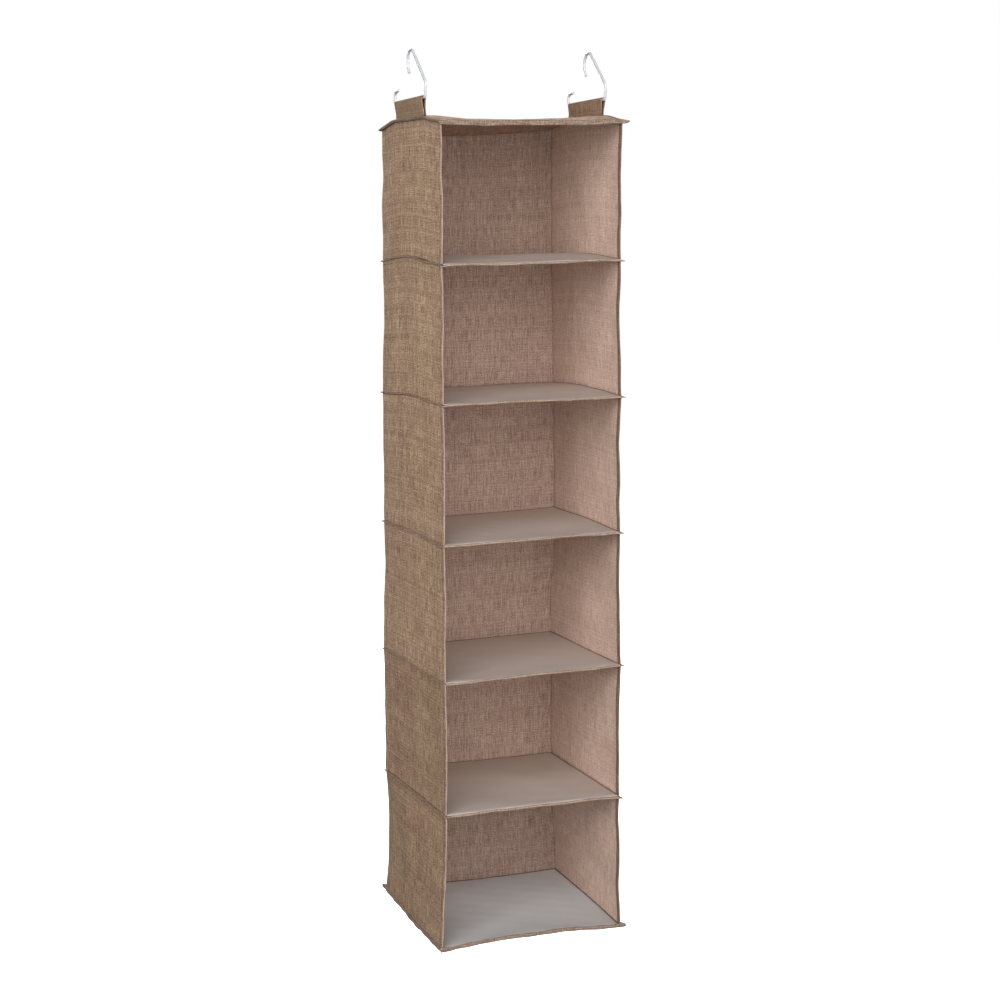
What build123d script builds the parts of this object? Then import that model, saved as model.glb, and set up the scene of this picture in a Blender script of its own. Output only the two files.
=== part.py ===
from build123d import *
import math
import os

# A hanging closet organizer: a stiff top panel on two wire hooks, and six open cells of cloth
# walls between stiff shelves. Millimetres. +X runs to the right, +Y from the open front to the
# back, +Z up. The origin is on the axis of the closet rod, midway between the two hooks.

# The box of cells
WIDTH = 305.0  # across the outer faces of the side walls
DEPTH = 305.0  # from the front of the side walls to the outer face of the back
CENTRE_Y = 11.5  # the plan's centre lies this far behind the rod
CELLS = 6
PITCH = 216.5  # from one level to the next
TOP_LEVEL_Z = -101.0  # mid-plane of the top panel at its corners
FIRST_SHELF_Z = -311.5  # mid-plane of the first shelf at its corners
LEVEL_RISE = (13.0, 9.0, 6.0, 2.0, 0.0, 0.0, 0.0)  # how far each level's middle is pulled up
RISE_POWER = 3.5  # a high power keeps the middle of the rise flat

# The layers of a level, and what hangs between two levels
BOARD_THICK = 3.0
BOARD_INSET = 2.5  # the board stops short of the cloth's edge
CLOTH_THICK = 1.0
WALL_THICK = 1.2
RIM_OUT = 5.0  # how far the piped edges of the top and the floor stand out from the walls
SEAM_OUT = 3.0  # and the plain bound seams of the shelves
BINDING_CORNER = 2.0
TAPE_THICK = 0.8
TAPE_DEEP = 10.0  # how far the tape folds over a side wall's front edge
SEAM_GAP = 0.1  # between a wall and the level that it hangs from
FOLD_GAP = 0.4  # between a wall and the level below, which moves

# Hooks and loops
HOOK_X = 150.0  # each hook stands over the top of a side wall
WIRE_RADIUS = 2.25
ROD_BEND = 16.5  # radius of the wire's centre line over the rod
BAR_Z = -61.5  # middle of the hook's straight bar, which the loop holds
BAR_TILT = 1.8  # degrees that the bar slopes down towards the back
LOOP_CLOTH = 1.2
WIRE_PLAY = 0.3
LOOP_FRONT_Y = -61.0
LOOP_BACK_Y = 78.5
LOOP_BASE_RADIUS = 1.3
LOOP_LIFT = 0.4  # clear air between the loop's rounded base and the top panel

LEVEL_Z = [TOP_LEVEL_Z] + [FIRST_SHELF_Z - PITCH * n for n in range(CELLS)]
BINDING_OUT = [RIM_OUT] + [SEAM_OUT] * (CELLS - 1) + [RIM_OUT]
HALF_LEVEL = BOARD_THICK / 2 + CLOTH_THICK
HALF_WIDTH = WIDTH / 2
HALF_DEPTH = DEPTH / 2
FRONT_Y = CENTRE_Y - HALF_DEPTH
BACK_Y = CENTRE_Y + HALF_DEPTH
LOOP_BASE_Z = TOP_LEVEL_Z + LEVEL_RISE[0] + HALF_LEVEL + LOOP_LIFT + LOOP_BASE_RADIUS
SIDES = {"left": -1, "right": 1}

os.makedirs("parts", exist_ok=True)


def finish(piece, label):
    """Name a piece and write its STEP."""
    piece.part.label = label
    export_step(piece.part, f"parts/{label}.step")


def side_line(level, height):
    """A level's line from front to back, seen from the side, at a height from its mid-plane."""
    base, rise = LEVEL_Z[level] + height, LEVEL_RISE[level]
    if not rise:
        return Line((FRONT_Y, base), (BACK_Y, base))
    shares = (-1, -0.5, 0, 0.5, 1)
    points = [(CENTRE_Y + s * HALF_DEPTH, base + rise * (1 - abs(s) ** RISE_POWER)) for s in shares]
    return Spline(*points)


def level_layer(level, low, high, half_width, half_depth):
    """One layer of a level: the stretch between two heights, cut to a rectangle in plan."""
    bottom, top = LEVEL_Z[level] + low, LEVEL_Z[level] + high
    with BuildPart() as layer:
        with BuildSketch(Plane.YZ):
            with BuildLine():
                under = side_line(level, low)
                over = side_line(level, high)
                Polyline(under @ 0, (FRONT_Y - RIM_OUT, bottom), (FRONT_Y - RIM_OUT, top), over @ 0)
                Polyline(under @ 1, (BACK_Y + RIM_OUT, bottom), (BACK_Y + RIM_OUT, top), over @ 1)
            make_face()
        extrude(amount=half_width, both=True)
        with BuildSketch(Plane.XY.offset(LEVEL_Z[level])):
            with Locations((0, CENTRE_Y)):
                Rectangle(2 * half_width, 2 * half_depth)
        extrude(amount=PITCH / 4, both=True, mode=Mode.INTERSECT)
    return layer


def level_binding(level):
    """The bound seam around a level: a rim outside the walls, as thick as the level."""
    out = BINDING_OUT[level]
    rim = level_layer(level, -HALF_LEVEL, HALF_LEVEL, HALF_WIDTH + out, HALF_DEPTH + out)
    with BuildPart() as binding:
        add(rim.part)
        with BuildSketch(Plane.XY.offset(LEVEL_Z[level])):
            with Locations((0, CENTRE_Y)):
                Rectangle(WIDTH, DEPTH)
        extrude(amount=PITCH / 4, both=True, mode=Mode.SUBTRACT)
        upright = binding.edges().filter_by(Axis.Z)
        corners = upright.filter_by(lambda edge: abs(edge.center().X) > HALF_WIDTH + out / 2)
        fillet(corners, radius=BINDING_CORNER)
    return binding


def level_pieces(level, name, over, under):
    """A level's board between its two cloths, and the binding around them."""
    board = level_layer(
        level,
        -BOARD_THICK / 2,
        BOARD_THICK / 2,
        HALF_WIDTH - BOARD_INSET,
        HALF_DEPTH - BOARD_INSET,
    )
    finish(board, f"{name}_board")
    upper = level_layer(level, BOARD_THICK / 2, HALF_LEVEL, HALF_WIDTH, HALF_DEPTH)
    finish(upper, f"{name}_{over}")
    lower = level_layer(level, -HALF_LEVEL, -BOARD_THICK / 2, HALF_WIDTH, HALF_DEPTH)
    finish(lower, f"{name}_{under}")
    finish(level_binding(level), f"{name}_binding")


def side_wall(cell, side):
    """A side wall, whose top and bottom edges follow the levels that it joins."""
    with BuildPart() as wall:
        with BuildSketch(Plane.YZ.offset(side * HALF_WIDTH)):
            with BuildLine():
                top = side_line(cell - 1, -HALF_LEVEL - SEAM_GAP)
                bottom = side_line(cell, HALF_LEVEL + FOLD_GAP)
                Line(top @ 0, bottom @ 0)
                Line(top @ 1, bottom @ 1)
            make_face()
        extrude(amount=-side * WALL_THICK)
        # the front edge is set back under the tape that binds it
        with BuildSketch(Plane.XZ.offset(-FRONT_Y)):
            with Locations((side * HALF_WIDTH, LEVEL_Z[cell] + PITCH / 2)):
                Rectangle(4 * WALL_THICK, 2 * PITCH)
        extrude(amount=-TAPE_THICK, mode=Mode.SUBTRACT)
    return wall


def back_wall(cell):
    """The back wall, between the two side walls."""
    top = LEVEL_Z[cell - 1] - HALF_LEVEL - SEAM_GAP
    bottom = LEVEL_Z[cell] + HALF_LEVEL + 2 * FOLD_GAP
    with BuildPart() as wall:
        with BuildSketch(Plane.XY.offset(bottom)):
            with Locations((0, BACK_Y - WALL_THICK / 2)):
                Rectangle(WIDTH - 2 * WALL_THICK, WALL_THICK)
        extrude(amount=top - bottom)
    return wall


def front_tapes(cell):
    """The two tapes of a cell, each folded round the front edge of a side wall."""
    top = LEVEL_Z[cell - 1] - HALF_LEVEL - SEAM_GAP
    bottom = LEVEL_Z[cell] + HALF_LEVEL + LEVEL_RISE[cell] / 4 + FOLD_GAP
    with BuildPart() as tapes:
        with BuildSketch(Plane.XY.offset(bottom)):
            for side in SIDES.values():
                middle = side * (HALF_WIDTH - WALL_THICK / 2)
                with Locations((middle, FRONT_Y + TAPE_DEEP / 2)):
                    Rectangle(WALL_THICK + 2 * TAPE_THICK, TAPE_DEEP)
                with Locations((middle, FRONT_Y + TAPE_THICK + TAPE_DEEP / 2)):
                    Rectangle(WALL_THICK, TAPE_DEEP, mode=Mode.SUBTRACT)
        extrude(amount=top - bottom)
    return tapes


def bar_z(y):
    """Height of the sloping bar's centre line."""
    return BAR_Z - math.tan(math.radians(BAR_TILT)) * (y - CENTRE_Y)


def hook(side):
    """One bent wire: curled back tip, straight bar, slanted shank, rod bend and front tip."""
    shank_slope = (-0.638, 0.770)  # unit normal of the shank, away from the rod
    knee_y = -71.5
    knee_z = (ROD_BEND + shank_slope[0] * -knee_y) / shank_slope[1]
    crown_z = (ROD_BEND - shank_slope[0] * ROD_BEND) / shank_slope[1]
    corners = [
        (63.5, -43.0),
        (84.0, -46.5),
        (84.0, bar_z(84.0)),
        (-66.5, bar_z(-66.5)),
        (knee_y, knee_z),
        (ROD_BEND, crown_z),
        (ROD_BEND, -10.0),
        (9.5, -19.0),
    ]
    with BuildPart() as wire:
        with BuildLine(Plane.YZ.offset(side * HOOK_X)) as route:
            FilletPolyline(*corners, radius=[6.0, 5.0, 5.0, 10.0, ROD_BEND, 8.0])
        with BuildSketch(route.line ^ 0):
            Circle(WIRE_RADIUS)
        sweep()
        tips = wire.faces().filter_by(GeomType.PLANE).edges()
        fillet(tips, radius=WIRE_RADIUS / 2)
    return wire


def loop(side):
    """A cloth loop: a doubled tab, open round the hook's bar and closed at its stitched base."""
    tunnel_radius = WIRE_RADIUS + WIRE_PLAY
    stitch_z = LOOP_BASE_Z + 3 * LOOP_BASE_RADIUS
    outside = (tunnel_radius + LOOP_CLOTH, LOOP_BASE_Z, LOOP_BASE_RADIUS)
    inside = (tunnel_radius, stitch_z, LOOP_BASE_RADIUS / 4)
    with BuildPart() as tab:
        for radius, low_z, low_radius in (outside, inside):
            for y in (LOOP_FRONT_Y, LOOP_BACK_Y):
                with BuildSketch(Plane.XZ.offset(-y)):
                    with Locations((side * HOOK_X, bar_z(y))):
                        Circle(radius)
                    with Locations((side * HOOK_X, low_z)):
                        Circle(low_radius)
                    make_hull()
            loft(ruled=True, mode=Mode.ADD if low_z == LOOP_BASE_Z else Mode.SUBTRACT)
    return tab


level_pieces(0, "top", "cover", "lining")
for shelf in range(1, CELLS):
    level_pieces(shelf, f"shelf_{shelf}", "liner", "undercloth")
level_pieces(CELLS, "floor", "liner", "undercloth")

for cell in range(1, CELLS + 1):
    for side_name, side in SIDES.items():
        finish(side_wall(cell, side), f"cell_{cell}_{side_name}_wall")
    finish(back_wall(cell), f"cell_{cell}_back_wall")
    finish(front_tapes(cell), f"cell_{cell}_front_tapes")

for side_name, side in SIDES.items():
    finish(loop(side), f"{side_name}_loop")
    finish(hook(side), f"{side_name}_hook")
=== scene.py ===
import math

import bmesh
import bpy
import numpy as np
from mathutils import Matrix, Vector


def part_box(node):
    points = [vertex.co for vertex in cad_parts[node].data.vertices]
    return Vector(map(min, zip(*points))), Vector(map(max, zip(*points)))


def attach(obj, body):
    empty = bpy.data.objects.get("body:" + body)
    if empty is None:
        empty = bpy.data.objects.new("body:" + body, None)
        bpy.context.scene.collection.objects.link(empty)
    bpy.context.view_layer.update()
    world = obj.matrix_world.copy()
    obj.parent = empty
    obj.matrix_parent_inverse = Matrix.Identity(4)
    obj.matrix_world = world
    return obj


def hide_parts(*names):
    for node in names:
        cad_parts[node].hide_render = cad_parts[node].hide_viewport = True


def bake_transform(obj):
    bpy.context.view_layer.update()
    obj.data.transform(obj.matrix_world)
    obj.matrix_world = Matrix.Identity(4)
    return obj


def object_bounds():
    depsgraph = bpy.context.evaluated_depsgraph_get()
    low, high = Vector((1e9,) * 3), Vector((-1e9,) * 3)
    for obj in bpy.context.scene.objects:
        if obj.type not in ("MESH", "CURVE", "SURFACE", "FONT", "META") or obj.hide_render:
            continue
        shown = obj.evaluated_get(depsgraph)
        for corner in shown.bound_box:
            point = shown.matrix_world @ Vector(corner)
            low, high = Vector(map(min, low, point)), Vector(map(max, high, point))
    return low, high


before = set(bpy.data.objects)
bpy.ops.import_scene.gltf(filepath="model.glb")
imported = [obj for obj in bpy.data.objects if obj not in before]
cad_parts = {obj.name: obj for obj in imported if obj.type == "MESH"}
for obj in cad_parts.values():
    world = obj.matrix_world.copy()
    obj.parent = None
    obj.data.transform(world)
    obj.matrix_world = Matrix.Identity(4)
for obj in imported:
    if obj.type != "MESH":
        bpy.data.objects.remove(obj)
cad_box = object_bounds()

TAU = 2 * math.pi
MM = 0.001
SHELF_COUNT = 5
LEVELS = ["top"] + [f"shelf_{n}" for n in range(1, SHELF_COUNT + 1)] + ["floor"]
TOP = 0
FLOOR = len(LEVELS) - 1
CELLS = range(1, len(LEVELS))
SIDES = {"left": -1, "right": 1}

# Sizes of the cloth, in metres
CLOTH = 0.0012  # of a wall
SLEEVE_CLOTH = 0.0006  # of a level
BOARD = 0.003
BOARD_INSET = 0.006
HALF_LEVEL = 0.0025
CLEAR = 0.0002  # between a board or a cloth and the next layer
PANEL_CLEAR_X = 0.0016  # between a level's cloth and the walls beside it
PANEL_CLEAR_Y = 0.0004
EDGE_TAPER = 0.007  # a sleeve thins to its seam over this width
SEAM_HALF = 0.0011  # half of a sleeve's thickness at its seam
WALL_TALL, WALL_WIDE = 0.212, 0.305  # a wall's cloth, for its weave
WAVE_TALL, WAVE_WIDE = 0.21, 0.3  # and for its waves
TAPE = 0.0004
TAPE_AIR = 0.00005  # between the tape and the cloth in it
TAPE_DEEP = 0.010
TAPE_ROUND = 0.045  # the way round its section, for the weave
TAPE_STITCH_BACK = 0.0078
TAPE_STITCHES = 62
RING_STEP = 0.003
STITCH_PITCH = 0.0048
RIM_STITCH, TAPE_STITCH, LOOP_STITCH = 0.0032, 0.0024, 0.0023  # their lengths
THREAD = 0.00032


# ---- frame sizes

plan_low, plan_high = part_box("floor_liner")
HALF_W = plan_high.x
FRONT_Y = plan_low.y
BACK_Y = plan_high.y
MIDDLE_Y = (FRONT_Y + BACK_Y) / 2
HALF_D = (BACK_Y - FRONT_Y) / 2
RIM_BOXES = [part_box(f"{level}_binding") for level in LEVELS]
BASE_Z = [low.z + HALF_LEVEL for low, high in RIM_BOXES]
RISE = [high.z - low.z - 2 * HALF_LEVEL for low, high in RIM_BOXES]
RIM_OUT = [high.x - HALF_W for low, high in RIM_BOXES]


# ---- how the levels hang

TOP_RISE = 0.0074  # the top panel's plateau between its loops
TOP_LEAN = 0.25  # how much more it rises on the right, and less on the left
TOP_DIP = 0.5  # the share of the rise that is lost midway between the loops
LOOP_PULL = 0.0042  # the left loop pulls the cloth up beside its foot
LOOP_PULL_IN = 0.020  # this far inside the edge
LOOP_PULL_WIDE = 0.040
SHELF_RISE = 0.8  # the share of its CAD rise that a shelf's middle has
SHELF_LEAN = 0.26  # how much less a shelf rises on the right, and more on the left
RISE_POWER = 1.8  # how flat the middle of that rise is
LEVEL_WAVE = 0.0005
FRONT_SAG = 0.0026  # the top's front edge hangs in the middle
BACK_SAG = (9.5, 1.0, 0.5, 2.5, 1.5, 1.0, 4.5)  # the back edges hang in the middle, in mm
PLATEAU = 0.46  # half of the plateau, as a share of half the depth
FLOOR_BOW = 0.006  # the floor's front edge bows up in the middle
FLOOR_SAG = 0.0036  # and its left edge bows down
PINCH_REAR = 0.005  # the last cell's left rear edge pulls in halfway down
PINCH_FRONT = 0.004  # and towards the floor its left side stands out, at the front
PINCH_SIDE = 0.010  # and between front and rear
LEAN_TOP = 0.014  # the hooks stand straight: this far above the top the lean starts to fade
LEAN_FADE = 0.03  # over this height

# How far each level's corners hang above or below true, in millimetres:
# front left, front right, back right, back left
CORNER_LIFT = (
    (4.0, 6.5, 4.0, -0.5),
    (-2.5, 2.0, -1.5, -3.0),
    (0.0, 2.5, -0.5, -6.0),
    (-1.5, 1.5, -2.0, -5.5),
    (-5.0, 0.5, -5.0, -7.0),
    (-1.5, -1.0, -6.5, -4.0),
    (-4.0, -3.5, -3.0, 2.5),
)

# How far the side walls' edges stand in or out of true at each level, in millimetres:
# the left wall's rear and front edges and the right wall's rear edge stand to the right, and
# the right wall's front edge to the left
LEFT_REAR_IN = (4.5, 3.5, 0.5, 0.0, -3.0, -2.5, -4.0)
LEFT_FRONT_IN = (2.1,) * FLOOR + (-2.0,)
RIGHT_FRONT_IN = (4.5, 6.3, 4.3, 5.3, 2.8, 4.5, 1.6)
RIGHT_REAR_OUT = (0.0, 0.0, 3.0, 5.0, -2.0, -1.0, 6.5)


# ---- camera

CAMERA_AT = (-1.18827, -3.17343, -0.20150)
YAW, PITCH, ROLL = -0.356921, 0.146459, -0.003844
LENS = 75.5
SENSOR = 36.0


def add_object(name, data):
    """A new object in the scene."""
    made = bpy.data.objects.new(name, data)
    bpy.context.collection.objects.link(made)
    return made


def place_camera():
    """The camera, in front of the object, to its left and a little above its middle."""
    data = bpy.data.cameras.new("camera")
    data.lens = LENS
    data.sensor_width = SENSOR
    data.clip_end = 50
    camera = add_object("camera", data)
    level = math.cos(PITCH)
    ahead = Vector((-math.sin(YAW) * level, math.cos(YAW) * level, -math.sin(PITCH)))
    right = Vector((math.cos(YAW), math.sin(YAW), 0))
    up = right.cross(ahead)
    axis_x = math.cos(ROLL) * right + math.sin(ROLL) * up
    axis_y = math.cos(ROLL) * up - math.sin(ROLL) * right
    pose = Matrix((axis_x, axis_y, -ahead)).transposed().to_4x4()
    camera.matrix_world = Matrix.Translation(CAMERA_AT) @ pose
    bpy.context.scene.camera = camera


place_camera()


# ---- shader nodes

YARN_PITCH = 0.0013
OVER_UNDER = 0.35  # how much a yarn rises and dips as it passes over and under
OWN_TONE, DRIFT_TONE = 0.45, 0.75  # how much a yarn's own tone counts, and its drift
WEAVE_SHARE = 0.5  # how much the weave counts in a cloth's tone
WEAVE_MEAN = 0.6
RAMP_DARK, RAMP_LIGHT = 0.18, 0.84  # where the tones of the darkest and lightest yarns lie
WORN_SHARE = 0.92


def feed(tree, fed, inputs):
    """Feeds a node's inputs with sockets or plain values."""
    for key, value in inputs.items():
        if isinstance(value, bpy.types.NodeSocket):
            tree.links.new(value, fed.inputs[key])
        else:
            fed.inputs[key].default_value = value


def node(tree, kind, inputs=None, out=0, **settings):
    """Adds a node, sets its properties and feeds its inputs."""
    made = tree.nodes.new(kind)
    for key, value in settings.items():
        setattr(made, key, value)
    feed(tree, made, inputs or {})
    return made.outputs[out]


def calc(tree, operation, *values):
    return node(tree, "ShaderNodeMath", dict(enumerate(values)), operation=operation)


def blend_colour(tree, share, first, second):
    inputs = {"Factor": share, 6: first, 7: second}
    return node(tree, "ShaderNodeMix", inputs, 2, data_type="RGBA")


def rgb(red, green, blue):
    """A colour for a socket, from its linear parts."""
    return (red, green, blue, 1.0)


def worn(colour):
    """A liner's colour where it is scuffed."""
    return rgb(*(WORN_SHARE * part for part in colour))


def new_material(name):
    material = bpy.data.materials.new(name)
    material.use_nodes = True
    return material, material.node_tree, material.node_tree.nodes["Principled BSDF"]


def cloth_axes(tree):
    """Distances over the cloth, in metres: across it and along it."""
    place = node(tree, "ShaderNodeUVMap", uv_map="cloth")
    across, along, _ = node(tree, "ShaderNodeSeparateXYZ", {0: place}).node.outputs
    return across, along


def spots(tree, place, scale, detail=2.0):
    """Plain noise, about 0.5 on average."""
    return node(tree, "ShaderNodeTexNoise", {"Vector": place, "Scale": scale, "Detail": detail})


def noise(tree, across, along, across_scale, along_scale, detail=2.0, offset=0.0):
    """Noise stretched along the cloth; the scales are features per metre."""
    x = calc(tree, "MULTIPLY", across, across_scale)
    y = calc(tree, "MULTIPLY", along, along_scale)
    place = node(tree, "ShaderNodeCombineXYZ", {0: x, 1: y, 2: offset})
    return spots(tree, place, 1.0, detail)


def yarn_tone(tree, yarn, along, reach, offset):
    """Each yarn's own tone, which drifts along it in slubs."""
    own = node(tree, "ShaderNodeTexWhiteNoise", {"W": yarn}, noise_dimensions="1D")
    drift = noise(tree, yarn, along, 7.31, reach, 1.0, offset)
    own_part = calc(tree, "MULTIPLY", own, OWN_TONE)
    return calc(tree, "ADD", own_part, calc(tree, "MULTIPLY", drift, DRIFT_TONE))


def yarn_height(tree, over, along, swing):
    """A round yarn's height, which swings up and down as it passes over and under the others."""
    section = calc(tree, "SINE", calc(tree, "MULTIPLY", calc(tree, "FRACT", over), math.pi))
    wave = calc(tree, "COSINE", calc(tree, "MULTIPLY", along, math.pi))
    return calc(tree, "MULTIPLY", section, calc(tree, "MULTIPLY_ADD", wave, swing, 1 - OVER_UNDER))


def weave(tree, across, along, pitch):
    """A plain weave: its height, and the tone of the yarn on top."""
    column = calc(tree, "DIVIDE", across, pitch)
    row = calc(tree, "DIVIDE", along, pitch)
    warp_yarn = calc(tree, "FLOOR", column)
    weft_yarn = calc(tree, "FLOOR", row)
    warp_high = yarn_height(tree, column, calc(tree, "ADD", row, warp_yarn), OVER_UNDER)
    weft_high = yarn_height(tree, row, calc(tree, "ADD", column, weft_yarn), -OVER_UNDER)
    height = calc(tree, "MAXIMUM", warp_high, weft_high)
    warp_on_top = calc(tree, "GREATER_THAN", warp_high, weft_high)
    warp = yarn_tone(tree, warp_yarn, along, 45.0, 3.1)
    weft = yarn_tone(tree, weft_yarn, across, 55.0, 8.7)
    tone = node(tree, "ShaderNodeMix", {"Factor": warp_on_top, 2: weft, 3: warp})
    return height, tone


def relief(tree, height, strength, distance):
    inputs = {"Strength": strength, "Distance": distance, "Height": height}
    return node(tree, "ShaderNodeBump", inputs)


def linen(name, dark, middle, light, pitch=YARN_PITCH, contrast=1.0):
    """Heathered linen: mottled yarns of three tones in a plain weave."""
    material, tree, shader = new_material(name)
    across, along = cloth_axes(tree)
    height, tone = weave(tree, across, along, pitch)
    streaks = noise(tree, across, along, 620.0, 45.0)
    picks = noise(tree, across, along, 90.0, 560.0, offset=5.0)
    mottle = noise(tree, across, along, 640.0, 520.0, detail=1.0, offset=9.0)
    clouds = noise(tree, across, along, 22.0, 16.0, offset=14.0)
    parts = ((streaks, 0.95), (picks, 0.4), (mottle, 1.1), (clouds, 0.15))
    total = calc(tree, "MULTIPLY", tone, WEAVE_SHARE * contrast)
    for part, weight in parts:
        total = calc(tree, "MULTIPLY_ADD", part, weight * contrast, total)
    mean = contrast * (WEAVE_SHARE * WEAVE_MEAN + 0.5 * sum(weight for part, weight in parts))
    centred = calc(tree, "ADD", total, 0.5 - mean)
    colour = node(tree, "ShaderNodeValToRGB", {0: centred})
    stops = colour.node.color_ramp.elements
    stops[0].position, stops[0].color = RAMP_DARK, rgb(*dark)
    stops[1].position, stops[1].color = RAMP_LIGHT, rgb(*light)
    stops.new(0.5).color = rgb(*middle)
    fuzz = calc(tree, "MULTIPLY_ADD", mottle, 0.6, height)
    surface = {
        "Base Color": colour,
        "Roughness": calc(tree, "MULTIPLY_ADD", tone, 0.14, 0.8),
        "Normal": relief(tree, fuzz, 0.35, 0.0006),
        "Specular IOR Level": 0.2,
        "Sheen Weight": 0.03,
        "Sheen Roughness": 0.5,
    }
    feed(tree, shader, surface)
    return material


def smooth_liner(name, front, back):
    """The shelf's smooth facing, with a fine grain and faint scuffs; its colour changes from front to
    back as painted light: a lighter back colour lifts the shade at the back, and a browner one paints
    the walls' reflection.
    """
    material, tree, shader = new_material(name)
    place = node(tree, "ShaderNodeTexCoord")
    painted_light_share = node(tree, "ShaderNodeSeparateXYZ", {0: place}, 1)
    across, along = cloth_axes(tree)
    grain = noise(tree, across, along, 900.0, 900.0)
    scuffs = noise(tree, across, along, 14.0, 22.0, detail=4.0, offset=3.0)
    share = calc(tree, "MULTIPLY_ADD", grain, 0.35, calc(tree, "MULTIPLY", scuffs, 0.65))
    # painted light: the colour runs from the front colour to the back colour with depth
    clean = blend_colour(tree, painted_light_share, rgb(*front), rgb(*back))
    scuffed = blend_colour(tree, painted_light_share, worn(front), worn(back))
    height = calc(tree, "MULTIPLY_ADD", scuffs, 0.4, grain)
    surface = {
        "Base Color": blend_colour(tree, share, clean, scuffed),
        "Roughness": calc(tree, "MULTIPLY_ADD", scuffs, 0.16, 0.5),
        "Normal": relief(tree, height, 0.12, 0.0004),
        "Specular IOR Level": 0.3,
    }
    feed(tree, shader, surface)
    return material


def coated_wire(name):
    """White plastic coat on steel wire, with faint ripples and handling marks."""
    material, tree, shader = new_material(name)
    place = node(tree, "ShaderNodeTexCoord", out=3)
    marks = spots(tree, place, 160.0, 3.0)
    fine = spots(tree, place, 900.0)
    surface = {
        "Base Color": blend_colour(tree, marks, rgb(0.62, 0.635, 0.66), rgb(0.52, 0.53, 0.55)),
        "Roughness": calc(tree, "MULTIPLY_ADD", marks, 0.2, 0.25),
        "Normal": relief(tree, fine, 0.1, 0.0003),
        "Coat Weight": 0.2,
        "Coat Roughness": 0.2,
    }
    feed(tree, shader, surface)
    return material


def cardboard(name):
    """Grey-brown board with fibres and faint flute lines."""
    material, tree, shader = new_material(name)
    place = node(tree, "ShaderNodeTexCoord", out=3)
    fibres = spots(tree, place, 700.0, 4.0)
    flutes = node(tree, "ShaderNodeTexWave", {"Vector": place, "Scale": 40.0, "Distortion": 0.6})
    share = calc(tree, "MULTIPLY_ADD", flutes, 0.15, calc(tree, "MULTIPLY", fibres, 0.8))
    surface = {
        "Base Color": blend_colour(tree, share, rgb(0.36, 0.27, 0.18), rgb(0.46, 0.36, 0.25)),
        "Roughness": calc(tree, "MULTIPLY_ADD", fibres, 0.1, 0.82),
        "Normal": relief(tree, fibres, 0.2, 0.0004),
    }
    feed(tree, shader, surface)
    return material


OUTER = linen(
    "linen_outer", (0.165, 0.095, 0.055), (0.43, 0.275, 0.174), (0.74, 0.53, 0.36), contrast=1.35
)
# A darker copy of the outer cloth for the two lowest cells: painted shade, for the light falling off
# towards the bottom.
OUTER_PAINTED_SHADE = linen(
    "linen_outer_painted_shade", (0.145, 0.083, 0.047), (0.375, 0.239, 0.15), (0.65, 0.465, 0.312), contrast=1.35
)
INNER = linen(
    "linen_inner", (0.20, 0.128, 0.097), (0.467, 0.327, 0.266), (0.75, 0.58, 0.49), contrast=0.78
)
# A darker copy of the inner cloth for the back walls of the top and bottom cells: painted shade.
INNER_PAINTED_SHADE = linen(
    "linen_inner_painted_shade", (0.165, 0.104, 0.078), (0.388, 0.268, 0.216), (0.63, 0.482, 0.404), contrast=0.78
)
# A lighter copy of the inner cloth for the side walls' inner faces: painted light.
INNER_SIDE_PAINTED_LIGHT = linen(
    "linen_inner_side_painted_light", (0.26, 0.173, 0.129), (0.575, 0.412, 0.333), (0.88, 0.69, 0.58), contrast=0.72
)
LINING = linen("linen_lining", (0.14, 0.083, 0.053), (0.35, 0.225, 0.158), (0.60, 0.43, 0.33))
EDGING = linen(
    "linen_edging", (0.09, 0.055, 0.036), (0.19, 0.122, 0.084), (0.33, 0.23, 0.165), 0.0009, 0.9
)
# A pale copy of the edging for the fold of the left tapes: a painted highlight.
EDGING_PAINTED_HIGHLIGHT = linen(
    "linen_edging_painted_highlight", (0.24, 0.16, 0.122), (0.38, 0.27, 0.212), (0.53, 0.39, 0.315), 0.0008, 0.9
)
RIM = linen(
    "linen_rim", (0.105, 0.069, 0.049), (0.215, 0.15, 0.11), (0.40, 0.298, 0.232), 0.0011
)
# Shaded and lit copies of the seam cloth for the shelves' rims: a painted dark line of shade along the
# top of the rim, and a painted lit ridge below it.
SEAM_SHADE = linen("linen_seam_shade", (0.11, 0.066, 0.04), (0.25, 0.16, 0.10), (0.42, 0.29, 0.20))
SEAM_PAINTED_LIGHT = linen("linen_seam_painted_light", (0.15, 0.10, 0.07), (0.34, 0.24, 0.178), (0.58, 0.44, 0.345))
THREADS = linen("thread", (0.18, 0.125, 0.095), (0.35, 0.26, 0.205), (0.56, 0.43, 0.345), 0.0004, 1.1)
SEAM_THREADS = linen(
    "thread_seam", (0.20, 0.128, 0.085), (0.33, 0.215, 0.148), (0.46, 0.32, 0.225), 0.0004, 0.6
)
# The cords' dark colour is painted shade of the corner between a level and its walls; the floor's is
# darker.
FLOOR_SHADE_CORD = linen("seam_cord", (0.05, 0.035, 0.026), (0.11, 0.078, 0.06), (0.20, 0.15, 0.12), 0.0008)
SHELF_SHADE_CORD = linen(
    "seam_cord_shelf", (0.11, 0.072, 0.054), (0.21, 0.14, 0.11), (0.34, 0.24, 0.20), 0.0008
)
# The right loop's cloth is a darker copy of the left's: painted shade.
LOOPS = {
    "left": linen("linen_loop_left", (0.13, 0.075, 0.045), (0.33, 0.215, 0.135), (0.58, 0.42, 0.28)),
    "right": linen("linen_loop_right_painted_shade", (0.09, 0.05, 0.032), (0.25, 0.145, 0.092), (0.44, 0.30, 0.21)),
}
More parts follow.
